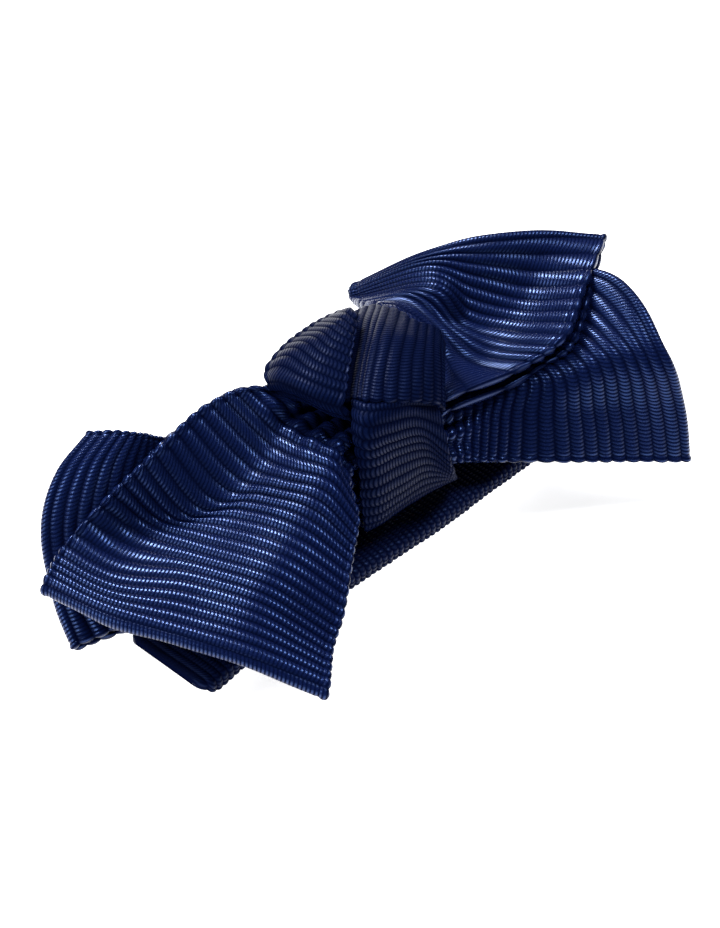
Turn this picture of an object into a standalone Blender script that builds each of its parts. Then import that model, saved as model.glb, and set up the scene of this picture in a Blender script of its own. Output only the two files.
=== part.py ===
"""Ribbon hair bow on a flat alligator clip. Metres, +Z up, the jaw's underside on z = 0."""

import math

import bmesh
import bpy
import numpy as np
from mathutils import Matrix, Vector

MM = 0.001

# Driving dimensions, in millimetres.
RIBBON_THICKNESS = 0.45
BOW_LIFT = 0.15         # height of the rib tables' datum above the jaw's flat underside
FOLD_DEPTH = 1.1        # distance between a loop's two layers at its fold
LOOP_DEPTH = 1.2        # the same halfway along the loop
KNOT_WIDTH = 10.0
KNOT_NEAR_Y = -3.8
KNOT_FAR_Y = 6.8
KNOT_LOW_Z = 3.6
KNOT_HIGH_Z = 15.2
KNOT_THICKNESS = 0.8
THREAD_RADIUS = 0.25
THREAD_TURNS = 4
CLIP_WIDTH = 7.8
CLIP_TIP_X = 21.0
CLIP_TAIL_X = -24.0
CLIP_SHEET = 0.7
CLIP_TOP_Z = 2.0        # upper face of the top arm, above the datum
TAIL_DROP = 1.4
PIVOT_X = -12.0
PIVOT_Z = -0.35
EAR_GAP = 0.25
PIVOT_RADIUS = 0.6
PIVOT_GAP = 0.07
JAW_TOP_Z = 0.55
JAW_WIDTH = 3.8
TAB_WIDTH = 5.9
TAB_END_X = -20.5
LINING_WIDTH = 8.4
LINING_THICKNESS = 0.4

# One rib of a ribbon: near end, far end, rises above the straight line at its
# quarter points, and how far its middle bows along +X.
FRONT_MIDDLE = ((0.0, -1.6, 11.8), (0.0, 4.4, 12.0), (0.6, 0.3, 0.6), 0.0)
BACK_MIDDLE = ((0.0, -1.6, 8.1), (0.0, 4.4, 8.4), (0.3, 0.3, 0.3), 0.0)

FRONT_LEFT = (
    ((-19.5, -12.5, 4.2), (-27.5, 9.0, 6.5), (0.9, 0.8, 0.3), -0.9),
    ((-17.0, -10.5, 4.2), (-25.5, 10.0, 8.0), (1.8, 1.2, 0.1), 0.0),
    ((-15.0, -9.5, 5.2), (-21.5, 9.5, 10.3), (1.6, 0.2, -1.2), 0.0),
    ((-12.0, -7.5, 7.0), (-17.5, 8.5, 12.0), (0.7, -1.2, -2.6), 0.4),
    ((-9.5, -6.0, 9.0), (-12.0, 8.5, 14.0), (1.1, -0.7, -1.2), 0.1),
    ((-6.5, -2.5, 10.5), (-8.0, 6.0, 13.0), (1.1, 0.2, 0.0), 0.4),
)
FRONT_RIGHT = (
    ((5.0, -2.2, 11.2), (7.0, 6.4, 12.5), (-0.2, 0.0, 0.4), 1.0),
    ((12.0, -3.5, 11.0), (8.5, 11.0, 12.5), (-0.4, 0.7, 1.1), 0.0),
    ((15.5, -5.0, 13.0), (11.0, 14.5, 10.0), (-0.5, 1.4, 2.0), 0.0),
    ((20.0, -3.0, 15.0), (11.5, 15.5, 10.0), (-0.2, 1.7, 2.0), 0.0),
    ((25.5, -0.5, 16.0), (12.3, 16.3, 10.0), (1.9, 2.8, 2.0), -1.4),
)
BACK_LEFT = (
    ((-27.0, 6.0, 1.0), (-18.3, 13.3, 12.5), (-0.8, -0.2, 0.4), -2.6),
    ((-22.5, 3.0, 3.9), (-16.0, 11.5, 12.0), (-1.8, -2.8, -1.8), -2.0),
    ((-14.0, -1.0, 4.9), (-13.0, 9.5, 10.5), (-0.9, -2.2, -2.0), 0.0),
    ((-7.5, -2.0, 6.0), (-8.0, 6.6, 8.8), (-0.4, -0.4, -0.2), 0.1),
)
BACK_RIGHT = (
    ((5.5, -2.4, 6.7), (6.5, 5.0, 8.0), (0.5, 0.7, 0.5), 0.5),
    ((9.0, -5.0, 4.5), (11.5, 6.0, 7.5), (2.0, 2.0, 1.2), 1.5),
    ((13.0, -8.0, 3.7), (15.0, 6.0, 8.0), (4.0, 3.4, 1.8), 1.2),
    ((17.0, -11.0, 3.1), (18.5, 5.5, 9.5), (4.6, 4.8, 2.2), 0.8),
    ((20.5, -13.8, 2.5), (21.5, 5.0, 12.0), (4.6, 6.0, 3.2), 0.3),
)


def clear_scene():
    for obj in list(bpy.data.objects):
        bpy.data.objects.remove(obj, do_unlink=True)


def new_collection(name):
    collection = bpy.data.collections.new(name)
    bpy.context.scene.collection.children.link(collection)
    return collection


def material(name, color, roughness, metallic):
    made = bpy.data.materials.new(name)
    made.use_nodes = True
    shader = made.node_tree.nodes["Principled BSDF"]
    shader.inputs["Base Color"].default_value = (*color, 1.0)
    shader.inputs["Roughness"].default_value = roughness
    shader.inputs["Metallic"].default_value = metallic
    made.diffuse_color = (*color, 1.0)
    return made


def ribbon_material(name):
    return material(name, (0.004, 0.012, 0.075), 0.62, 0.0)


def steel_material(name):
    return material(name, (0.62, 0.62, 0.64), 0.32, 1.0)


def add_mesh(name, points, faces, look, collection):
    """An object of these points, given in millimetres above the datum."""
    mesh = bpy.data.meshes.new(name)
    lifted = (np.asarray(points, float) + (0.0, 0.0, BOW_LIFT)) * MM
    mesh.from_pydata(lifted.tolist(), [], [tuple(int(i) for i in f) for f in faces])
    mesh.validate()
    working = bmesh.new()
    working.from_mesh(mesh)
    bmesh.ops.recalc_face_normals(working, faces=working.faces)
    working.to_mesh(mesh)
    working.free()
    mesh.materials.append(look)
    obj = bpy.data.objects.new(name, mesh)
    collection.objects.link(obj)
    return obj


def spline(knots, at):
    """A Catmull-Rom curve through the knots, read at the parameters in at."""
    first = 2 * knots[0] - knots[1]
    last = 2 * knots[-1] - knots[-2]
    row = np.concatenate([[first], knots, [last]])
    index = np.clip(at.astype(int), 0, len(knots) - 2)
    t = (at - index).reshape((-1,) + (1,) * (knots.ndim - 1))
    a, b, c, d = (row[index + k] for k in range(4))
    cubic = 3 * (b - c) + d - a
    square = 2 * a - 5 * b + 4 * c - d
    return 0.5 * (2 * b + (c - a) * t + square * t**2 + cubic * t**3)


def unit(vectors):
    return vectors / np.linalg.norm(vectors, axis=-1, keepdims=True)


def rib_points(rib):
    """Five points along one rib, from the near selvage to the far one."""
    near, far, rises, bow = rib
    near = np.array(near)
    chord = np.array(far) - near
    along = unit(chord)
    up = unit(np.array((0.0, 0.0, 1.0)) - along * along[2])
    out = np.cross(along, up)
    share = np.linspace(0.0, 1.0, 5)
    rise = np.array((0.0, *rises, 0.0))
    bulge = bow * 4 * share * (1 - share)
    return near + share[:, None] * chord + rise[:, None] * up + bulge[:, None] * out


def surface(ribs, at_length, at_width):
    """Points of the surface through the ribs, as rows along the ribbon."""
    knots = np.array([rib_points(rib) for rib in ribs])
    rows = spline(knots, at_length)
    return spline(rows.transpose(1, 0, 2), at_width).transpose(1, 0, 2)


def normals_of(grid):
    along = np.gradient(grid, axis=0)
    across = np.gradient(grid, axis=1)
    return unit(np.cross(along, across))


def loop_depth(count, middle_depth):
    """Distance between a loop's layers, row by row from its fold to the middle."""
    share = np.linspace(0.0, 1.0, count)
    swell = LOOP_DEPTH * np.sin(np.pi * np.clip(share, 0, 1)) * 0.35
    return FOLD_DEPTH + (middle_depth - FOLD_DEPTH) * share**3 + swell


def underside(grid, normals, depth):
    return grid - normals * depth[:, None, None]


def fold_rows(top_row, top_normal, outward, depth, count):
    """Rows round the fold that joins a loop's upper layer to its lower one."""
    rows = []
    for angle in np.linspace(0.0, math.pi, count + 2)[1:-1]:
        drop = (1 - math.cos(angle)) * depth / 2
        reach = math.sin(angle) * depth / 2
        rows.append(top_row - top_normal * drop + outward * reach)
    return rows


def ribbon_rows(left, middle, right, per_rib, across, overlap):
    """The whole strip: middle, left underside, left fold, over the top, right
    fold, right underside and back past the middle."""
    ribs = (*left, middle, *right)
    count = (len(ribs) - 1) * per_rib + 1
    at_length = np.linspace(0.0, len(ribs) - 1.0, count)
    top = surface(ribs, at_length, np.linspace(0.0, 4.0, across))
    normals = normals_of(top)
    normals = normals * np.sign(normals[..., 2:3].mean())
    centre = len(left) * per_rib
    left_end = centre + overlap
    right_start = centre - overlap
    left_depth = loop_depth(left_end + 1, 1.1)
    right_depth = loop_depth(count - right_start, 2.1)[::-1]
    left_under = underside(top[: left_end + 1], normals[: left_end + 1], left_depth)
    right_under = underside(top[right_start:], normals[right_start:], right_depth)
    left_out = unit(top[0] - top[1])
    right_out = unit(top[-1] - top[-2])
    left_fold = fold_rows(top[0], normals[0], left_out, FOLD_DEPTH, 4)
    right_fold = fold_rows(top[-1], normals[-1], right_out, FOLD_DEPTH, 4)
    rows = [*left_under[::-1], *left_fold[::-1], *top, *right_fold, *right_under[::-1]]
    return np.array(rows)


def grid_faces(rows, columns):
    faces = []
    for i in range(rows - 1):
        for j in range(columns - 1):
            a = i * columns + j
            faces.append((a, a + 1, a + columns + 1, a + columns))
    return faces


def add_ribbon(name, left, middle, right, collection):
    rows = ribbon_rows(left, middle, right, 3, 13, 1)
    faces = grid_faces(rows.shape[0], rows.shape[1])
    look = ribbon_material(name)
    obj = add_mesh(name, rows.reshape(-1, 3), faces, look, collection)
    solid = obj.modifiers.new("thickness", "SOLIDIFY")
    solid.thickness = RIBBON_THICKNESS * MM
    solid.offset = 0.0
    return obj


def rounded_loop(low_y, high_y, low_z, high_z, power, count):
    """A superellipse in the YZ plane, as count points round X."""
    angle = np.linspace(0.0, 2 * math.pi, count, endpoint=False)
    cos, sin = np.cos(angle), np.sin(angle)
    y = np.sign(cos) * np.abs(cos) ** (2 / power) * (high_y - low_y) / 2
    z = np.sign(sin) * np.abs(sin) ** (2 / power) * (high_z - low_z) / 2
    return np.stack([y + (high_y + low_y) / 2, z + (high_z + low_z) / 2], axis=1)


def tube_faces(around, section):
    faces = []
    for i in range(around):
        for j in range(section):
            a = i * section + j
            b = i * section + (j + 1) % section
            c = (i + 1) % around * section + (j + 1) % section
            d = (i + 1) % around * section + j
            faces.append((a, b, c, d))
    return faces


def add_knot(collection):
    """The strip wound round the gathered middle, crowned across its width."""
    around, half = 48, KNOT_WIDTH / 2
    outer = rounded_loop(KNOT_NEAR_Y, KNOT_FAR_Y, KNOT_LOW_Z, KNOT_HIGH_Z, 4.0, around)
    centre = outer.mean(axis=0)
    inward = unit(centre - outer)
    points = []
    for place, turn in zip(outer, inward):
        for x, depth in knot_section(half):
            y, z = place + turn * depth
            points.append((x, y, z))
    look = ribbon_material("knot_strip")
    faces = tube_faces(around, len(knot_section(half)))
    return add_mesh("knot_strip", points, faces, look, collection)


def knot_section(half):
    """(x, depth below the outer face) round the knot strip's cross-section."""
    upper = [(half * s, 0.3 * s**4) for s in (-0.94, -0.6, -0.2, 0.2, 0.6, 0.94)]
    right_edge = [(half, 0.3 + KNOT_THICKNESS / 2)]
    lower = [(x, KNOT_THICKNESS) for x, depth in reversed(upper)]
    left_edge = [(-half, 0.3 + KNOT_THICKNESS / 2)]
    return upper + right_edge + lower + left_edge


def add_cross_fold(collection):
    """The strip's free end, laid over the top of the knot and down to the left."""
    ribs = (
        ((-8.6, 1.4, 15.25), (-6.6, 7.2, 16.3), (0.3, 0.5, 0.3), 0.0),
        ((-5.0, 0.4, 15.95), (-4.0, 6.8, 16.8), (0.4, 0.6, 0.4), 0.0),
        ((-1.5, -0.8, 16.15), (-1.0, 5.8, 16.8), (0.4, 0.6, 0.4), 0.0),
        ((2.5, -1.2, 16.15), (3.0, 5.4, 16.8), (0.4, 0.6, 0.4), 0.0),
        ((6.0, -0.6, 15.2), (6.6, 5.2, 16.2), (0.4, 0.6, 0.4), 0.0),
    )
    rows = surface(ribs, np.linspace(0.0, 4.0, 17), np.linspace(0.0, 4.0, 9))
    faces = grid_faces(*rows.shape[:2])
    look = ribbon_material("knot_cross_fold")
    obj = add_mesh("knot_cross_fold", rows.reshape(-1, 3), faces, look, collection)
    solid = obj.modifiers.new("thickness", "SOLIDIFY")
    solid.thickness = KNOT_THICKNESS * MM
    solid.offset = 0.0
    return obj


def add_thread(collection):
    """Gathering thread: turns round the pinched ribbons, inside the knot."""
    path = rounded_loop(-2.6, 5.6, 5.0, 13.6, 4.0, 24)
    step = 0.8
    points = []
    for turn in range(THREAD_TURNS):
        for i, (y, z) in enumerate(path):
            share = turn + i / len(path)
            points.append(((share - THREAD_TURNS / 2) * step, y, z + BOW_LIFT))
    curve = bpy.data.curves.new("gather_thread", "CURVE")
    curve.dimensions = "3D"
    curve.bevel_depth = THREAD_RADIUS * MM
    curve.bevel_resolution = 1
    curve.use_fill_caps = True
    line = curve.splines.new("POLY")
    line.points.add(len(points) - 1)
    for place, point in zip(line.points, points):
        place.co = (*(v * MM for v in point), 1.0)
    curve.materials.append(material("gather_thread", (0.01, 0.012, 0.03), 0.7, 0.0))
    obj = bpy.data.objects.new("gather_thread", curve)
    collection.objects.link(obj)
    return obj


def arm_height(x):
    """Upper face of the top arm above the datum: flat, its tail bent down."""
    tail = np.clip((-13.0 - x) / (-13.0 - CLIP_TAIL_X), 0.0, 1.0)
    return CLIP_TOP_Z - TAIL_DROP * tail**1.6


def rounded_end(distance, length):
    """Share of the full width at a distance in from a rounded end."""
    share = np.clip(distance / length, 0.03, 1.0)
    return np.sqrt(share * (2 - share))


def top_width(x):
    """Full width of the top arm, which narrows a little towards its tip."""
    return CLIP_WIDTH * (1 - 0.22 * np.clip((x - 4.0) / (CLIP_TIP_X - 4.0), 0.0, 1.0))


def smooth_step(value):
    value = np.clip(value, 0.0, 1.0)
    return value * value * (3 - 2 * value)


def bottom_width(x):
    """Full width of the bottom arm: a narrow jaw that widens into the tab."""
    return JAW_WIDTH + (TAB_WIDTH - JAW_WIDTH) * smooth_step((-5.5 - x) / 3.5)


def arm_places(tail_x, tip_x):
    """Places along an arm, closer together at its rounded ends."""
    tail = np.linspace(tail_x, tail_x + 3.0, 7)
    middle = np.linspace(tail_x + 4.4, tip_x - 3.2, 24)
    tip = np.linspace(tip_x - 2.2, tip_x, 6)
    return np.concatenate([tail, middle, tip])


def add_strip(name, width, tail_x, tip_x, top, thickness, look, collection):
    """A thin plate along X with rounded ends; top(x) is its upper face's height."""
    rows = []
    for x in arm_places(tail_x, tip_x):
        half = width(x) / 2 * rounded_end(x - tail_x, 2.4) * rounded_end(tip_x - x, 1.8)
        rows.append([(x, y, top(x) - thickness / 2) for y in (-half, 0.0, half)])
    rows = np.array(rows)
    faces = grid_faces(*rows.shape[:2])
    obj = add_mesh(name, rows.reshape(-1, 3), faces, look, collection)
    solid = obj.modifiers.new("thickness", "SOLIDIFY")
    solid.thickness = thickness * MM
    solid.offset = 0.0
    return obj


def add_bmesh(name, shape, look, collection):
    """Turn a bmesh in millimetres above the datum into an object."""
    move = Matrix.Scale(MM, 4) @ Matrix.Translation((0.0, 0.0, BOW_LIFT))
    bmesh.ops.transform(shape, matrix=move, verts=shape.verts)
    bmesh.ops.recalc_face_normals(shape, faces=shape.faces)
    mesh = bpy.data.meshes.new(name)
    shape.to_mesh(mesh)
    shape.free()
    mesh.materials.append(look)
    obj = bpy.data.objects.new(name, mesh)
    collection.objects.link(obj)
    return obj


def add_box(name, low, high, look, collection):
    centre = (Vector(low) + Vector(high)) / 2
    size = Vector(high) - Vector(low)
    shape = bmesh.new()
    matrix = Matrix.Translation(centre) @ Matrix.Diagonal((*size, 1.0))
    bmesh.ops.create_cube(shape, size=1.0, matrix=matrix)
    return add_bmesh(name, shape, look, collection)


def add_pin(name, radius, low_y, high_y, look, collection):
    """A cylinder along Y on the pivot axis."""
    centre = (PIVOT_X, (low_y + high_y) / 2, PIVOT_Z)
    shape = bmesh.new()
    bmesh.ops.create_cone(
        shape,
        cap_ends=True,
        segments=24,
        radius1=radius,
        radius2=radius,
        depth=high_y - low_y,
        matrix=Matrix.Translation(centre) @ Matrix.Rotation(math.pi / 2, 4, "X"),
    )
    return add_bmesh(name, shape, look, collection)


def add_profile(name, outline, low_y, high_y, look, collection):
    """A closed outline of (x, z) points, extruded along Y."""
    shape = bmesh.new()
    face = shape.faces.new([shape.verts.new((x, low_y, z)) for x, z in outline])
    made = bmesh.ops.extrude_face_region(shape, geom=[face])["geom"]
    moved = [item for item in made if isinstance(item, bmesh.types.BMVert)]
    bmesh.ops.translate(shape, verts=moved, vec=(0.0, high_y - low_y, 0.0))
    return add_bmesh(name, shape, look, collection)


def boolean(obj, other, operation):
    modifier = obj.modifiers.new(other.name, "BOOLEAN")
    modifier.operation = operation
    modifier.solver = "EXACT"
    modifier.object = other


def add_top_arm(collection, cutters):
    """Upper arm with two side ears, each with a pivot hole."""
    look = steel_material("clip_top_arm")
    arm = add_strip(
        "clip_top_arm", top_width, CLIP_TAIL_X, CLIP_TIP_X, arm_height, CLIP_SHEET, look, collection
    )
    for side in (-1, 1):
        outer = side * CLIP_WIDTH / 2
        low_y, high_y = sorted((outer, outer - side * CLIP_SHEET))
        low = (PIVOT_X - 2.2, low_y, PIVOT_Z - 1.1)
        high = (PIVOT_X + 2.2, high_y, CLIP_TOP_Z - 0.3)
        ear = add_box(f"top_ear_{side}", low, high, look, cutters)
        boolean(arm, ear, "UNION")
    hole = add_pin("pivot_hole", PIVOT_RADIUS + PIVOT_GAP, -CLIP_WIDTH, CLIP_WIDTH, look, cutters)
    boolean(arm, hole, "DIFFERENCE")
    return arm


def jaw_height(x):
    """Upper face of the bottom arm above the datum: flat jaw, dropped tab."""
    drop = 1.1 * smooth_step((-9.0 - x) / 3.5)
    return JAW_TOP_Z - drop - 0.3 * np.clip((-13.0 - x) / 7.5, 0.0, 1.0)


def add_bottom_arm(collection, cutters):
    """Jaw, thumb tab, and the two inner ears with the pivot's dimples."""
    look = steel_material("clip_bottom_arm")
    tip_x = CLIP_TIP_X - 0.8
    arm = add_strip(
        "clip_bottom_arm", bottom_width, TAB_END_X, tip_x, jaw_height, CLIP_SHEET, look, collection
    )
    face = CLIP_WIDTH / 2 - CLIP_SHEET - EAR_GAP
    for side in (-1, 1):
        low_y, high_y = sorted((side * face, side * (face - 0.6)))
        low = (PIVOT_X - 1.6, low_y, PIVOT_Z - 0.8)
        high = (PIVOT_X + 1.6, high_y, PIVOT_Z + 0.75)
        ear = add_box(f"bottom_ear_{side}", low, high, look, cutters)
        boolean(arm, ear, "UNION")
        low_y, high_y = sorted((side * (CLIP_WIDTH / 2 - 0.1), side * (face - 0.3)))
        dimple = add_pin(f"dimple_{side}", PIVOT_RADIUS, low_y, high_y, look, cutters)
        boolean(arm, dimple, "UNION")
        teeth = add_teeth(side, look, cutters)
        boolean(arm, teeth, "UNION")
    return arm


def add_teeth(side, look, cutters):
    """Pointed teeth that stand up along one edge of the jaw, near its tip."""
    foot = JAW_TOP_Z - 0.15
    outline = [(6.0, foot)]
    for i in range(8):
        outline += [(6.5 + 1.5 * i, 1.0), (7.25 + 1.5 * i, 0.65)]
    outline += [(18.5, 1.0), (18.9, foot)]
    low_y, high_y = sorted((side * 1.2, side * 1.75))
    return add_profile(f"teeth_{side}", outline, low_y, high_y, look, cutters)


def add_spring(collection):
    """Leaf spring bent into a V: one leg under the top arm, one on the tab."""
    radius, half_sheet, half_width = 0.55, 0.14, 1.9
    turn = np.linspace(0.3, math.pi - 0.3, 7)
    bend = [(-13.2 + radius * math.sin(a), 0.3 + radius * math.cos(a)) for a in turn]
    upper = [(-19.0, 0.2), (-16.0, 0.72), (-13.2, 0.85)]
    lower = [(-13.2, -0.25), (-16.0, -0.2), (-19.0, -0.4)]
    path = np.array(upper + bend + lower)
    along = unit(np.gradient(path, axis=0))
    side = np.stack([along[:, 1], -along[:, 0]], axis=1) * half_sheet
    outline = [*(path + side), *(path - side)[::-1]]
    look = steel_material("clip_spring")
    return add_profile("clip_spring", outline, -half_width, half_width, look, collection)


def lining_width(x):
    return top_width(x) + LINING_WIDTH - CLIP_WIDTH


def lining_height(x):
    return arm_height(x) + 0.3 + LINING_THICKNESS


def add_lining(collection):
    """Narrow ribbon glued along the top arm, from its tail to its tip."""
    look = ribbon_material("top_lining")
    return add_strip(
        "top_lining",
        lining_width,
        CLIP_TAIL_X - 0.4,
        CLIP_TIP_X + 0.2,
        lining_height,
        LINING_THICKNESS,
        look,
        collection,
    )


def add_glue_pad(collection):
    """Pad of set glue that joins the knot's back to the lined clip."""
    look = material("glue_pad", (0.75, 0.72, 0.62), 0.45, 0.0)
    low = (-4.4, -1.6, CLIP_TOP_Z + 0.3 + LINING_THICKNESS + 0.2)
    high = (4.4, 3.4, KNOT_LOW_Z - 0.2)
    obj = add_box("glue_pad", low, high, look, collection)
    bevel = obj.modifiers.new("edges", "BEVEL")
    bevel.width = 0.1 * MM
    bevel.segments = 1
    return obj


def main():
    clear_scene()
    bow = new_collection("hair_bow")
    cutters = new_collection("helpers")
    add_ribbon("front_ribbon", FRONT_LEFT, FRONT_MIDDLE, FRONT_RIGHT, bow)
    add_ribbon("back_ribbon", BACK_LEFT, BACK_MIDDLE, BACK_RIGHT, bow)
    add_knot(bow)
    add_cross_fold(bow)
    add_thread(bow)
    add_glue_pad(bow)
    add_top_arm(bow, cutters)
    add_bottom_arm(bow, cutters)
    add_spring(bow)
    add_lining(bow)
    for helper in cutters.objects:
        helper.hide_render = True
        helper.display_type = "WIRE"


main()
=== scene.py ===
"""Navy grosgrain hair bow on a lined clip: fine ribbons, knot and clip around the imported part."""

import math

import bpy
import numpy as np
from mathutils import Matrix, Vector


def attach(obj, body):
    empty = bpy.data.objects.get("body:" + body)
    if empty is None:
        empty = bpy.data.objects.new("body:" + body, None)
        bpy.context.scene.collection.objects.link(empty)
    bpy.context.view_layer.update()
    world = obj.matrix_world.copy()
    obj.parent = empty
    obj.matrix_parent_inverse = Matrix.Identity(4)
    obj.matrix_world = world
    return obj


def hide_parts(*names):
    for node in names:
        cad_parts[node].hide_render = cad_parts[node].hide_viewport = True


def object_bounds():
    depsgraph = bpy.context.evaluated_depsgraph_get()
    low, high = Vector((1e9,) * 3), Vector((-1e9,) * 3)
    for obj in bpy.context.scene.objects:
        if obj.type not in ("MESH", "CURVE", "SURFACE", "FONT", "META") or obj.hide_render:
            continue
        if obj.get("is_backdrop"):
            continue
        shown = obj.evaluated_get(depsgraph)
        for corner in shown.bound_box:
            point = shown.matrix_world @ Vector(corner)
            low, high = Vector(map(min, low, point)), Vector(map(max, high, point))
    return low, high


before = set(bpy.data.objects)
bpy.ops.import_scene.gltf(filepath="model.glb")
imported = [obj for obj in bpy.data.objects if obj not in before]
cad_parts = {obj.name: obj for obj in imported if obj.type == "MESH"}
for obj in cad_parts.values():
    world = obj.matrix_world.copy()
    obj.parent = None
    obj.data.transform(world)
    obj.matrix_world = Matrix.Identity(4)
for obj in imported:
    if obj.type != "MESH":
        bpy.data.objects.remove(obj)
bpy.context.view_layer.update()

MM = 0.001
LIFT = 0.15           # height of the ribs' datum above the jaw's underside
RIB_PITCH = 1.0
YARN_PITCH = 0.32
RIBBON_WIDTH = 24.7
STRIP_WIDTH = 10.0
BODY = 0.11           # half the ribbon's thickness in the valleys between its ribs
PLEATS = 5
PLEAT_HEIGHT = 1.2    # five such pleats take up the ribbon's whole width inside the knot
RELIEF = 0.19         # height of a rib above the valleys
RIB_STEPS = (0.0, 0.05, 0.15, 0.3, 0.43, 0.57, 0.7, 0.85, 0.95)

# Ribs of the four loops and the knot: five points each, from near edge to far edge.
FRONT_MIDDLE = ((0.0, -2.4, 9.5), (0.0, -1.2, 11.3), (0.0, 0.2, 10.8), (0.0, 1.6, 11.6), (0.0, 3.0, 10.5))
BACK_MIDDLE = ((0.0, -2.4, 7.4), (0.0, -1.2, 8.0), (0.0, 0.2, 8.2), (0.0, 1.8, 8.3), (0.0, 3.4, 8.0))
FRONT_LEFT = (
    ((-20.0, -13.1, 4.0), (-22.5, -8.1, 5.4), (-24.7, -2.9, 5.8), (-26.9, 2.8, 5.8), (-28.1, 8.9, 6.0)),
    ((-17.2, -10.7, 4.2), (-19.6, -5.7, 6.8), (-21.4, 0.1, 6.6), (-24.2, 5.3, 6.2), (-25.4, 9.9, 7.0)),
    ((-14.8, -9.4, 5.2), (-17.1, -4.6, 8.0), (-18.5, 2.1, 7.2), (-19.7, 7.0, 7.0), (-21.4, 9.5, 9.5)),
    ((-12.0, -7.5, 7.0), (-13.3, -3.3, 9.0), (-14.4, 2.0, 8.4), (-16.2, 5.1, 8.0), (-17.4, 8.6, 12.0)),
    ((-9.6, -5.8, 9.0), (-9.9, -3.2, 11.2), (-10.7, 0.2, 11.0), (-11.0, 3.7, 10.8), (-11.9, 8.3, 14.0)),
    ((-6.7, -2.3, 10.5), (-6.7, -1.1, 12.4), (-6.8, 1.1, 12.6), (-7.1, 3.3, 13.0), (-8.0, 5.9, 15.0)),
)
FRONT_RIGHT = (
    ((3.9, -2.0, 11.0), (6.7, 1.2, 11.5), (7.8, 3.1, 12.5), (7.0, 4.9, 14.0), (6.9, 7.7, 14.0)),
    ((11.8, -3.3, 11.0), (10.4, 0.8, 10.8), (10.1, 3.9, 12.5), (10.3, 8.0, 13.2), (8.4, 11.1, 12.5)),
    ((15.7, -4.8, 13.0), (14.9, 0.4, 11.5), (13.6, 4.1, 11.5), (12.4, 6.9, 14.0), (10.9, 14.7, 10.0)),
    ((20.2, -3.0, 14.8), (18.8, 1.6, 13.2), (16.3, 5.6, 13.8), (14.3, 9.4, 14.2), (11.6, 15.7, 10.0)),
    ((26.0, -0.4, 16.0), (22.6, 2.8, 16.3), (18.7, 6.1, 16.2), (15.5, 10.0, 14.8), (12.3, 16.3, 10.0)),
)
BACK_LEFT = (
    ((-27.6, 5.9, 1.0), (-26.3, 9.6, 3.5), (-24.7, 12.1, 7.5), (-22.1, 13.1, 10.6), (-18.7, 13.4, 12.5)),
    ((-23.1, 3.4, 2.6), (-22.8, 6.7, 3.4), (-21.6, 8.9, 7.0), (-19.5, 10.0, 11.0), (-17.1, 10.6, 13.0)),
    ((-14.0, -1.0, 4.9), (-13.8, 1.6, 5.4), (-13.5, 4.3, 5.5), (-13.2, 6.9, 7.1), (-13.0, 9.5, 10.5)),
    ((-7.5, -2.0, 6.0), (-7.6, 0.2, 6.3), (-7.8, 2.3, 7.0), (-7.9, 4.4, 7.9), (-8.0, 6.6, 8.8)),
)
BACK_RIGHT = (
    ((4.9, -3.2, 5.5), (6.1, -2.1, 7.3), (7.2, -0.6, 8.4), (6.8, 2.5, 8.5), (6.5, 5.0, 8.0)),
    ((8.8, -5.2, 4.4), (10.6, -3.8, 7.5), (12.3, -2.5, 9.4), (11.3, 2.0, 8.9), (11.2, 6.0, 8.2)),
    ((13.0, -8.2, 3.7), (13.9, -6.8, 7.3), (14.7, -5.2, 10.4), (15.0, 0.0, 9.8), (15.0, 6.0, 8.5)),
    ((16.9, -11.1, 3.1), (17.7, -9.5, 7.2), (17.9, -7.5, 11.6), (18.9, -0.6, 11.7), (18.6, 5.2, 10.0)),
    ((20.8, -14.0, 2.5), (21.1, -12.5, 7.4), (20.5, -10.5, 12.2), (22.4, -4.0, 15.0), (21.5, 4.5, 13.2)),
)
KNOT_FRONT = (
    ((-4.1, 0.1, 15.0), (-3.2, -1.2, 15.1), (-1.3, -2.3, 14.8), (0.8, -2.9, 14.0), (2.6, -2.9, 12.6)),
    ((-5.2, -1.0, 15.0), (-5.2, -2.5, 15.3), (-3.9, -3.1, 15.1), (-1.4, -3.4, 14.4), (1.6, -3.6, 12.8)),
    ((-6.3, -2.2, 13.8), (-6.2, -3.5, 13.7), (-4.1, -3.8, 13.4), (-1.0, -4.1, 12.5), (1.0, -5.2, 10.3)),
    ((-6.4, -2.8, 10.6), (-5.5, -3.7, 10.8), (-2.9, -3.8, 10.6), (-0.1, -4.1, 9.8), (1.7, -5.3, 7.8)),
    ((-6.2, -2.8, 7.6), (-5.2, -3.7, 7.7), (-2.8, -3.8, 7.7), (0.1, -3.8, 7.4), (2.9, -4.5, 6.0)),
    ((-5.7, -2.7, 4.6), (-4.3, -3.1, 4.7), (-2.0, -3.1, 4.8), (0.8, -3.2, 4.8), (4.5, -3.2, 4.3)),
)
KNOT_BACK = ((-1.6, 3.9), (2.0, 3.9), (5.4, 4.3), (6.9, 6.4), (7.0, 9.4), (5.9, 12.3), (4.0, 13.9), (1.8, 14.7))
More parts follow.
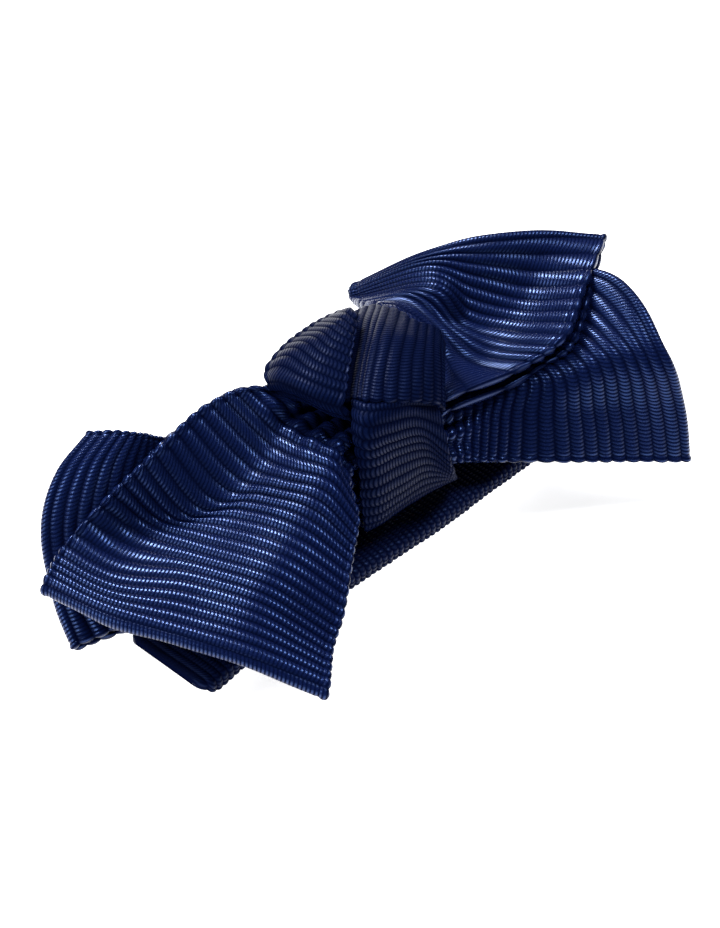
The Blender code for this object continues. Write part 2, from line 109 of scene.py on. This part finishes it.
KNOT_OVER = (
    ((-6.0, 0.6, 14.5), (-3.9, 2.4, 14.7), (-1.2, 4.6, 14.9), (1.8, 6.8, 14.9), (4.8, 8.6, 14.4)),
    ((-4.8, -0.7, 15.2), (-2.5, 1.1, 15.5), (0.3, 3.3, 15.7), (3.1, 5.5, 15.7), (5.9, 7.6, 15.1)),
    ((-4.7, -2.0, 15.7), (-2.9, -0.6, 16.3), (-0.3, 1.3, 16.7), (2.4, 3.2, 16.7), (5.6, 5.6, 15.9)),
    ((-3.7, -2.8, 15.5), (-2.1, -1.5, 16.3), (0.0, 0.0, 16.9), (2.5, 1.8, 16.8), (5.9, 4.3, 15.9)),
    ((-2.3, -3.4, 15.1), (-1.1, -2.4, 15.9), (0.6, -1.0, 16.5), (2.7, 0.5, 16.6), (5.6, 2.7, 16.0)),
    ((-0.7, -3.8, 14.5), (0.4, -2.9, 15.4), (1.8, -1.7, 16.0), (3.9, 0.0, 16.0), (6.6, 2.2, 15.4)),
    ((0.9, -4.1, 13.6), (1.9, -3.2, 14.5), (3.2, -2.0, 15.2), (4.9, -0.4, 15.3), (7.4, 1.7, 14.7)),
    ((2.8, -3.1, 11.5), (3.4, -2.5, 12.5), (4.3, -1.7, 13.3), (5.7, -0.4, 13.5), (8.1, 1.7, 13.0)),
)
KNOT_FLAP = (
    ((-5.2, -1.5, 14.0), (-6.0, 0.2, 14.2), (-6.4, 2.2, 14.4), (-6.8, 4.2, 14.2), (-6.8, 5.6, 13.6)),
    ((-6.2, -1.0, 15.4), (-7.0, 0.5, 15.8), (-7.4, 2.4, 16.0), (-7.6, 4.4, 15.8), (-7.5, 5.8, 15.0)),
    ((-5.3, -0.5, 16.0), (-6.3, 0.8, 16.5), (-6.7, 2.8, 16.7), (-6.3, 5.3, 16.3), (-6.6, 7.0, 15.0)),
    ((-3.9, 0.7, 16.4), (-4.5, 1.6, 16.8), (-4.8, 3.2, 17.0), (-4.3, 5.7, 16.7), (-4.2, 7.9, 15.3)),
    ((-2.1, 2.1, 16.7), (-2.4, 2.9, 17.0), (-2.5, 4.0, 17.1), (-2.0, 5.8, 16.8), (-1.7, 8.4, 15.4)),
    ((-0.1, 3.8, 16.8), (-0.2, 4.3, 17.1), (0.0, 5.1, 17.1), (0.1, 6.0, 16.9), (0.8, 8.6, 15.4)),
    ((2.2, 5.5, 16.8), (2.1, 5.8, 17.0), (2.3, 6.2, 16.9), (2.7, 6.9, 16.6), (3.4, 8.5, 15.2)),
)


# ---------------------------------------------------------------- surfaces


def spline(rows, places):
    """Catmull-Rom curve through rows at fractional places."""
    ends = np.concatenate([[2 * rows[0] - rows[1]], rows, [2 * rows[-1] - rows[-2]]])
    index = np.clip(places.astype(int), 0, len(rows) - 2)
    t = (places - index).reshape((-1,) + (1,) * (rows.ndim - 1))
    a, b, c, d = ends[index], ends[index + 1], ends[index + 2], ends[index + 3]
    bend = (2 * a - 5 * b + 4 * c - d) * t**2 + (-a + 3 * b - 3 * c + d) * t**3
    return 0.5 * (2 * b + (c - a) * t + bend)


def net(ribs, steps, columns):
    """Grid of points through the ribs; columns are shares of a rib's width."""
    ribs = np.array(ribs, float)
    grid = spline(ribs, np.linspace(0, len(ribs) - 1, steps))
    across = spline(grid.transpose(1, 0, 2), np.asarray(columns) * (ribs.shape[1] - 1))
    return across.transpose(1, 0, 2)


def unit(vectors):
    return vectors / np.maximum(np.linalg.norm(vectors, axis=-1, keepdims=True), 1e-9)


def normals_of(grid):
    return unit(np.cross(np.gradient(grid, axis=0), np.gradient(grid, axis=1)))


def lengths_along(line):
    return np.concatenate([[0.0], np.cumsum(np.linalg.norm(np.diff(line, axis=0), axis=1))])


def pick_rows(grid, places):
    index = np.clip(places.astype(int), 0, len(grid) - 2)
    share = (places - index)[:, None, None]
    return grid[index] * (1 - share) + grid[index + 1] * share


def fold_rows(row, normal, outward, depth, count):
    """Rows round a fold, from the upper layer's end to the lower layer's end."""
    centre = row - normal * depth / 2
    rows = []
    for angle in np.linspace(0, math.pi, count + 2)[1:-1]:
        rows.append(centre + depth / 2 * (normal * math.cos(angle) + outward * math.sin(angle)))
    return np.array(rows)


def loop_path(left, middle, right, columns, depths):
    """Closed run of a ribbon: under the left loop, round its fold, over, and back under."""
    fold_depth, middle_depth = depths
    left_top = net((*left, middle), 260, columns)
    right_top = net((middle, *right), 260, columns)
    top = np.concatenate([left_top, right_top[1:]])
    normals = normals_of(top)
    outs = unit(np.gradient(top, axis=0))
    half = len(left_top) - 1
    share = np.abs(np.arange(len(top)) - half) / half
    pleat = PLEAT_HEIGHT * np.exp(-((share / 0.15) ** 2))
    top = top + normals * (pleat[:, None] * np.sin(2 * math.pi * PLEATS * columns)[None, :])[..., None]
    depth = fold_depth + (middle_depth - fold_depth) * (1 - share) ** 3 + 0.12 * np.sin(np.pi * share)
    under = top - normals * depth[:, None, None]
    left_fold = fold_rows(top[0], normals[0], -outs[0], fold_depth, 14)
    right_fold = fold_rows(top[-1], normals[-1], outs[-1], fold_depth, 14)
    return np.concatenate([under[half::-1], left_fold[::-1], top, right_fold, under[:half:-1]])


def rib_profile(phase):
    """Height of a rib across its pitch, from 0 in the valley to 1 on its back."""
    return 1 - (2 * (phase - np.floor(phase)) - 1) ** 2


def edge_columns(width, inner_step):
    """Distances from the near edge, closer together at both selvages."""
    edge = [0.0, 0.04, 0.1, 0.18, 0.28, 0.4, 0.52, 0.64, 0.76, 0.9, 1.1]
    count = max(2, int(round((width - 2 * edge[-1]) / inner_step)))
    inner = np.linspace(edge[-1], width - edge[-1], count + 1)[1:-1]
    return np.array([*edge, *inner, *[width - e for e in reversed(edge)]])


def wander(points, scale, size, seed):
    """Smooth small irregularities, from a few waves in fixed random directions."""
    waves = np.random.default_rng(seed)
    total = np.zeros(points.shape[:-1])
    for _ in range(7):
        direction = waves.normal(size=3)
        direction *= 2 * math.pi / scale / np.linalg.norm(direction) * waves.uniform(0.6, 1.5)
        total += np.sin(points @ direction + waves.uniform(0, 2 * math.pi))
    return total * size / 3


def woven_band(name, grid, distances, pitch, body, relief, edges, material, closed=False, seed=1):
    """A ribbon with real ribs: a closed skin round the mid-surface in grid."""
    width = distances[-1]
    run = lengths_along(grid[:, grid.shape[1] // 2])
    count = max(2, int(round(run[-1] / pitch)))
    phases = np.array([k + step for k in range(count) for step in RIB_STEPS] + [float(count)])
    if closed:
        phases = phases[:-1]
    places = np.interp(phases * run[-1] / count, run, np.arange(len(grid)))
    rows = pick_rows(grid, places)
    normals = normals_of(rows)
    across = unit(np.gradient(rows, axis=1))
    rows = rows + normals * wander(rows, 7.0, 0.05, seed)[..., None]

    local = np.random.default_rng(seed + 100)
    rib_size = 1 + 0.12 * local.normal(size=count + 1)
    profile = rib_profile(phases) * rib_size[np.floor(phases).astype(int)]
    from_edge = np.minimum(distances, width - distances)
    rounding = np.sqrt(1 - (1 - np.clip(from_edge / 0.22, 0, 1)) ** 2)
    bead = 0.07 * np.exp(-(((from_edge - 0.3) / 0.17) ** 2)) if edges else 0 * from_edge
    groove = -0.05 * np.exp(-(((from_edge - 0.74) / 0.12) ** 2)) if edges else 0 * from_edge
    half = (body + relief * profile[:, None] + bead + groove) * rounding[None, :]
    loops = 0.13 * (profile - 0.45)[:, None] * np.exp(-(from_edge / 0.35) ** 2)[None, :]
    side = np.where(distances < width / 2, -1.0, 1.0)
    rows = rows + across * (loops * side)[..., None]

    steps = np.linalg.norm(np.diff(rows, axis=1), axis=2)
    yarns = np.concatenate([np.zeros((len(rows), 1)), np.cumsum(steps, axis=1)], axis=1)
    outer = rows + normals * half[..., None]
    inner = rows - normals * half[..., None]
    ring = np.concatenate([outer, inner[:, -2:0:-1]], axis=1)
    stations, around = ring.shape[:2]
    points = (ring.reshape(-1, 3) + (0.0, 0.0, LIFT)) * MM
    columns = np.concatenate([np.arange(len(distances)), np.arange(len(distances) - 2, 0, -1)])

    spans = stations if closed else stations - 1
    faces, uvs = [], []
    next_phase = np.append(phases[1:], float(count))
    for i in range(spans):
        j = (i + 1) % stations
        for k in range(around):
            m = (k + 1) % around
            faces.append((i * around + k, j * around + k, j * around + m, i * around + m))
            p, q = columns[k], columns[m]
            uvs += [(phases[i], yarns[i, p]), (next_phase[i], yarns[j, p])]
            uvs += [(next_phase[i], yarns[j, q]), (phases[i], yarns[i, q])]
    if not closed:
        last = (stations - 1) * around
        faces += [tuple(range(around)), tuple(last + k for k in reversed(range(around)))]
        uvs += [(phases[0], 0.0)] * around + [(phases[-1], 0.0)] * around
    mesh = bpy.data.meshes.new(name)
    mesh.from_pydata(points.tolist(), [], faces)
    layer = mesh.uv_layers.new(name="weave")
    layer.data.foreach_set("uv", (np.array(uvs) * 0.1).ravel())
    mesh.shade_smooth()
    mesh.materials.append(material)
    obj = bpy.data.objects.new(name, mesh)
    bpy.context.scene.collection.objects.link(obj)
    return obj


# ---------------------------------------------------------------- materials


def new_material(name):
    material = bpy.data.materials.new(name)
    material.use_nodes = True
    nodes = material.node_tree.nodes
    shader = next(n for n in nodes if n.type == "BSDF_PRINCIPLED")
    return material, nodes, material.node_tree.links, shader


def math_node(nodes, links, operation, *inputs):
    node = nodes.new("ShaderNodeMath")
    node.operation = operation
    for socket, value in zip(node.inputs, inputs):
        if isinstance(value, (int, float)):
            socket.default_value = value
        else:
            links.new(value, socket)
    return node.outputs[0]


def grosgrain(name, dark, bright, yarn_pitch, gloss, roughness, ior):
    """Ribbed ribbon: warp yarns that float over one rib and dive under the next; the colour is darker in the
    gaps between yarns and towards the rib valleys, painted shade.
    """
    material, nodes, links, shader = new_material(name)
    uv = nodes.new("ShaderNodeUVMap")
    uv.uv_map = "weave"
    split = nodes.new("ShaderNodeSeparateXYZ")
    links.new(uv.outputs[0], split.inputs[0])
    phase = math_node(nodes, links, "MULTIPLY", split.outputs[0], 10.0)
    across = math_node(nodes, links, "MULTIPLY", split.outputs[1], 10.0 / yarn_pitch)
    rib = math_node(nodes, links, "FLOOR", phase)
    parity = math_node(nodes, links, "MODULO", rib, 2.0)
    jitter = nodes.new("ShaderNodeTexNoise")
    jitter.inputs["Scale"].default_value = 900.0
    jitter.inputs["Detail"].default_value = 1.0
    wobble = math_node(nodes, links, "MULTIPLY", jitter.outputs[0], 0.3)
    shift = math_node(nodes, links, "MULTIPLY", parity, 0.5)
    yarn = math_node(nodes, links, "ADD", math_node(nodes, links, "ADD", across, shift), wobble)
    wave = math_node(nodes, links, "SINE", math_node(nodes, links, "MULTIPLY", yarn, math.pi))
    float_top = math_node(nodes, links, "POWER", math_node(nodes, links, "ABSOLUTE", wave), 0.7)
    along = math_node(nodes, links, "FRACT", phase)
    centred = math_node(nodes, links, "SUBTRACT", math_node(nodes, links, "MULTIPLY", along, 2.0), 1.0)
    square = math_node(nodes, links, "MULTIPLY", centred, centred)
    crown = math_node(nodes, links, "SUBTRACT", 1.0, math_node(nodes, links, "MULTIPLY", square, 0.75))
    height = math_node(nodes, links, "MULTIPLY", float_top, crown)
    fuzz = nodes.new("ShaderNodeTexNoise")
    fuzz.inputs["Scale"].default_value = 9000.0
    fuzz.inputs["Detail"].default_value = 3.0
    total = math_node(nodes, links, "ADD", height, math_node(nodes, links, "MULTIPLY", fuzz.outputs[0], 0.08))
    bump = nodes.new("ShaderNodeBump")
    bump.inputs["Strength"].default_value = 0.8
    bump.inputs["Distance"].default_value = 0.000022
    links.new(total, bump.inputs["Height"])
    links.new(bump.outputs[0], shader.inputs["Normal"])
    patch = nodes.new("ShaderNodeTexNoise")
    patch.inputs["Scale"].default_value = 160.0
    patch.inputs["Detail"].default_value = 4.0
    # Base colour lighter on the yarn floats' backs and darker in the gaps between yarns and towards the rib
    # valleys: painted shade, mixed with random patches of tone.
    painted_gap_shade = math_node(nodes, links, "MULTIPLY", height, 0.75)
    from_patch = math_node(nodes, links, "MULTIPLY", patch.outputs[0], 0.35)
    shade_and_patch_tone = math_node(nodes, links, "ADD", painted_gap_shade, from_patch)
    ramp = nodes.new("ShaderNodeValToRGB")
    ramp.color_ramp.elements[0].position = 0.1
    ramp.color_ramp.elements[0].color = (*dark, 1.0)
    ramp.color_ramp.elements[1].position = 0.95
    ramp.color_ramp.elements[1].color = (*bright, 1.0)
    links.new(shade_and_patch_tone, ramp.inputs[0])
    links.new(ramp.outputs[0], shader.inputs["Base Color"])
    from_patch = math_node(nodes, links, "MULTIPLY", patch.outputs[0], 0.16)
    rough = math_node(nodes, links, "ADD", from_patch, roughness - 0.08)
    links.new(rough, shader.inputs["Roughness"])
    yarn_shine = math_node(nodes, links, "POWER", math_node(nodes, links, "ABSOLUTE", wave), 3.0)
    back_shine = math_node(nodes, links, "SUBTRACT", 1.0, math_node(nodes, links, "POWER", square, 0.8))
    both = math_node(nodes, links, "MULTIPLY", yarn_shine, back_shine)
    shine = math_node(nodes, links, "MULTIPLY", both, gloss)
    links.new(shine, shader.inputs["Specular IOR Level"])
    shader.inputs["Specular Tint"].default_value = (0.2, 0.38, 1.0, 1.0)
    shader.inputs["IOR"].default_value = ior
    return material


def steel(name, tint, roughness, streak):
    """Plated sheet steel with fine rolling lines and small dull patches."""
    material, nodes, links, shader = new_material(name)
    coords = nodes.new("ShaderNodeTexCoord")
    stretch = nodes.new("ShaderNodeMapping")
    stretch.inputs["Scale"].default_value = (90.0, 2600.0, 2600.0)
    links.new(coords.outputs["Object"], stretch.inputs["Vector"])
    lines = nodes.new("ShaderNodeTexNoise")
    lines.inputs["Scale"].default_value = 1.0
    lines.inputs["Detail"].default_value = 5.0
    links.new(stretch.outputs[0], lines.inputs["Vector"])
    patches = nodes.new("ShaderNodeTexNoise")
    patches.inputs["Scale"].default_value = 240.0
    patches.inputs["Detail"].default_value = 6.0
    links.new(coords.outputs["Object"], patches.inputs["Vector"])
    from_lines = math_node(nodes, links, "MULTIPLY", lines.outputs[0], streak)
    from_patches = math_node(nodes, links, "MULTIPLY", patches.outputs[0], 0.14)
    rough = math_node(nodes, links, "ADD", from_lines, from_patches)
    links.new(math_node(nodes, links, "ADD", rough, roughness - 0.12), shader.inputs["Roughness"])
    ramp = nodes.new("ShaderNodeValToRGB")
    ramp.color_ramp.elements[0].position = 0.3
    ramp.color_ramp.elements[0].color = (*[0.72 * t for t in tint], 1.0)
    ramp.color_ramp.elements[1].position = 0.7
    ramp.color_ramp.elements[1].color = (*tint, 1.0)
    links.new(patches.outputs[0], ramp.inputs[0])
    links.new(ramp.outputs[0], shader.inputs["Base Color"])
    bump = nodes.new("ShaderNodeBump")
    bump.inputs["Strength"].default_value = 0.25
    bump.inputs["Distance"].default_value = 0.00002
    links.new(lines.outputs[0], bump.inputs["Height"])
    links.new(bump.outputs[0], shader.inputs["Normal"])
    shader.inputs["Metallic"].default_value = 1.0
    return material


def set_glue():
    """Cloudy hot glue: half matte, with small bubbles and drips."""
    material, nodes, links, shader = new_material("set_glue")
    coords = nodes.new("ShaderNodeTexCoord")
    cloud = nodes.new("ShaderNodeTexNoise")
    cloud.inputs["Scale"].default_value = 500.0
    cloud.inputs["Detail"].default_value = 5.0
    links.new(coords.outputs["Object"], cloud.inputs["Vector"])
    ramp = nodes.new("ShaderNodeValToRGB")
    ramp.color_ramp.elements[0].color = (0.55, 0.52, 0.42, 1.0)
    ramp.color_ramp.elements[1].color = (0.8, 0.78, 0.68, 1.0)
    links.new(cloud.outputs[0], ramp.inputs[0])
    links.new(ramp.outputs[0], shader.inputs["Base Color"])
    bump = nodes.new("ShaderNodeBump")
    bump.inputs["Strength"].default_value = 0.5
    bump.inputs["Distance"].default_value = 0.0001
    links.new(cloud.outputs[0], bump.inputs["Height"])
    links.new(bump.outputs[0], shader.inputs["Normal"])
    shader.inputs["Roughness"].default_value = 0.42
    shader.inputs["Subsurface Weight"].default_value = 0.15
    shader.inputs["Subsurface Scale"].default_value = 0.001
    return material


def twisted_thread():
    """Navy sewing thread, with its twist as slanting bands."""
    material, nodes, links, shader = new_material("thread")
    coords = nodes.new("ShaderNodeTexCoord")
    twist = nodes.new("ShaderNodeTexWave")
    twist.bands_direction = "DIAGONAL"
    twist.inputs["Scale"].default_value = 1400.0
    twist.inputs["Distortion"].default_value = 1.5
    links.new(coords.outputs["Object"], twist.inputs["Vector"])
    ramp = nodes.new("ShaderNodeValToRGB")
    ramp.color_ramp.elements[0].color = (0.002, 0.004, 0.02, 1.0)
    ramp.color_ramp.elements[1].color = (0.008, 0.016, 0.08, 1.0)
    links.new(twist.outputs[0], ramp.inputs[0])
    links.new(ramp.outputs[0], shader.inputs["Base Color"])
    bump = nodes.new("ShaderNodeBump")
    bump.inputs["Strength"].default_value = 0.7
    bump.inputs["Distance"].default_value = 0.00005
    links.new(twist.outputs[0], bump.inputs["Height"])
    links.new(bump.outputs[0], shader.inputs["Normal"])
    shader.inputs["Roughness"].default_value = 0.6
    return material


def paper_floor():
    """Plain pale floor that gives off a little light of its own."""
    material, _, _, shader = new_material("paper_floor")
    shader.inputs["Base Color"].default_value = (0.93, 0.93, 0.935, 1.0)
    shader.inputs["Roughness"].default_value = 0.9
    shader.inputs["Specular IOR Level"].default_value = 0.1
    shader.inputs["Emission Color"].default_value = (1.0, 1.0, 1.0, 1.0)
    shader.inputs["Emission Strength"].default_value = 0.82
    return material


NAVY = grosgrain("navy_grosgrain", (0.001, 0.002, 0.01), (0.0028, 0.007, 0.044), YARN_PITCH, 1.2, 0.25, 1.42)
# The knot is the same ribbon as the loops, given a darker and duller copy of its material: the darker colours
# are painted shade on the knot.
SHADED_KNOT_NAVY = grosgrain("navy_knot_painted_shade", (0.0006, 0.0012, 0.006), (0.0016, 0.0042, 0.025), YARN_PITCH, 0.8, 0.36, 1.16)
LINING = grosgrain("navy_lining", (0.001, 0.002, 0.014), (0.003, 0.006, 0.03), 0.3, 0.6, 0.36, 1.3)
PLATED = steel("plated_steel", (0.78, 0.78, 0.8), 0.28, 0.2)
SPRING = steel("spring_steel", (0.6, 0.6, 0.63), 0.34, 0.26)


# ---------------------------------------------------------------- ribbons


def add_loops(name, left, middle, right, node, depths, seed):
    distances = edge_columns(RIBBON_WIDTH, 0.5)
    grid = loop_path(left, middle, right, distances / RIBBON_WIDTH, depths)
    obj = woven_band(name, grid, distances, RIB_PITCH, BODY, RELIEF, True, NAVY, closed=True, seed=seed)
    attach(obj, "bow")
    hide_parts(node)
    return obj


add_loops("front_loops", FRONT_LEFT, FRONT_MIDDLE, FRONT_RIGHT, "front_ribbon", (1.1, 1.25), 3)
add_loops("back_loops", BACK_LEFT, BACK_MIDDLE, BACK_RIGHT, "back_ribbon", (1.1, 1.25), 5)


def add_knot():
    distances = edge_columns(STRIP_WIDTH, 0.4)
    columns = distances / STRIP_WIDTH
    hidden = [tuple((x, y, z) for x in (-5.0, -2.5, 0.0, 2.5, 5.0)) for y, z in KNOT_BACK]
    ring = net((*KNOT_FRONT, *hidden, KNOT_FRONT[0]), 700, columns)
    band = woven_band("knot_band", ring, distances, 0.95, 0.22, 0.09, False, SHADED_KNOT_NAVY, seed=11)
    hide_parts("knot_strip")
    over = net(KNOT_OVER, 240, columns)
    cross = woven_band("knot_over", over, distances, 0.95, 0.22, 0.09, False, SHADED_KNOT_NAVY, seed=13)
    flap = net(KNOT_FLAP, 240, columns)
    side = woven_band("knot_flap", flap, distances, 0.95, 0.22, 0.09, True, SHADED_KNOT_NAVY, seed=17)
    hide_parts("knot_cross_fold")
    for obj, grid in ((band, ring), (cross, over), (side, flap)):
        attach(obj, "bow")


add_knot()


def arm_top(x):
    tail = np.clip((-13.0 - x) / 11.0, 0.0, 1.0)
    return 2.0 - 1.4 * tail**1.6


def rounded_end(distance, length):
    share = np.clip(distance / length, 0.1, 1.0)
    return math.sqrt(share * (2 - share))


def add_lining():
    """Narrow ribbon glued over the top arm and turned down round its edges."""
    left = ((-1.0, -1.25), (-1.03, -0.55), (-0.93, -0.06), (-0.5, 0.0))
    section = (*left, (0.0, 0.02), *[(-share, drop) for share, drop in reversed(left)])
    ribs = []
    for x in np.linspace(-24.4, 21.2, 74):
        taper = 1 - 0.22 * np.clip((x - 4.0) / 17.0, 0.0, 1.0)
        half = (7.8 * taper + 0.6) / 2 * rounded_end(x + 24.9, 1.6) * rounded_end(21.5 - x, 1.6)
        top = arm_top(x) + 0.4
        turned = np.clip(min(x + 24.6, 21.4 - x) / 1.6, 0.1, 1.0)
        ribs.append([(x, share * half, top + drop * turned) for share, drop in section])
    width = 10.4
    distances = edge_columns(width, 0.4)
    grid = net(ribs, 900, distances / width)
    obj = woven_band("clip_lining", grid, distances, 0.62, 0.1, 0.09, True, LINING, seed=19)
    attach(obj, "bow")
    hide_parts("top_lining")


add_lining()

looks = {
    "clip_top_arm": PLATED,
    "clip_bottom_arm": PLATED,
    "clip_spring": SPRING,
    "glue_pad": set_glue(),
    "gather_thread": twisted_thread(),
}
for node, material in looks.items():
    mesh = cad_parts[node].data
    mesh.materials.clear()
    mesh.materials.append(material)


# ---------------------------------------------------------------- stage


def add_floor(level):
    mesh = bpy.data.meshes.new("floor")
    size = 3.0
    corners = [(-size, -size, level), (size, -size, level), (size, size, level), (-size, size, level)]
    mesh.from_pydata(corners, [], [(0, 1, 2, 3)])
    mesh.materials.append(paper_floor())
    floor = bpy.data.objects.new("floor", mesh)
    bpy.context.scene.collection.objects.link(floor)
    floor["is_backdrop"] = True


def add_light(name, azimuth, elevation, distance, size, power, colour=(1.0, 1.0, 1.0)):
    data = bpy.data.lights.new(name, "AREA")
    data.shape = "RECTANGLE"
    data.size, data.size_y = size
    data.energy = power
    data.color = colour
    light = bpy.data.objects.new(name, data)
    a, e = math.radians(azimuth), math.radians(elevation)
    place = Vector((math.sin(a) * math.cos(e), -math.cos(a) * math.cos(e), math.sin(e))) * distance
    light.location = place
    light.rotation_euler = (Vector((0.0, 0.0, 0.008)) - place).to_track_quat("-Z", "Y").to_euler()
    bpy.context.scene.collection.objects.link(light)


def add_camera():
    data = bpy.data.cameras.new("camera")
    data.sensor_fit = "HORIZONTAL"
    data.sensor_width = 36.0
    data.lens = 105.0
    data.clip_start = 0.005
    camera = bpy.data.objects.new("camera", data)
    a, e = math.radians(-46.0), math.radians(37.0)
    back = Vector((math.sin(a) * math.cos(e), -math.cos(a) * math.cos(e), math.sin(e)))
    right = Vector((math.cos(a), math.sin(a), 0.0))
    up = back.cross(right)
    rotation = Matrix((right, up, back)).transposed().to_4x4()
    camera.matrix_world = Matrix.Translation(Vector((-98.1, -91.5, 107.45)) * MM) @ rotation
    bpy.context.scene.collection.objects.link(camera)
    bpy.context.scene.camera = camera


low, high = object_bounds()
add_floor(low[2] - 0.0001)
add_light("key", 168.0, 55.0, 0.6, (0.15, 0.15), 5.6)
add_light("top", 56.0, 68.0, 0.6, (0.2, 0.2), 2.6)
add_light("side", -118.0, 34.0, 0.6, (0.3, 0.3), 2.6)
world = bpy.data.worlds.new("studio")
world.use_nodes = True
world.node_tree.nodes["Background"].inputs["Color"].default_value = (1.0, 1.0, 1.0, 1.0)
world.node_tree.nodes["Background"].inputs["Strength"].default_value = 0.12
bpy.context.scene.world = world
bpy.context.scene.view_settings.view_transform = "Standard"
add_camera()

low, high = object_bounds()
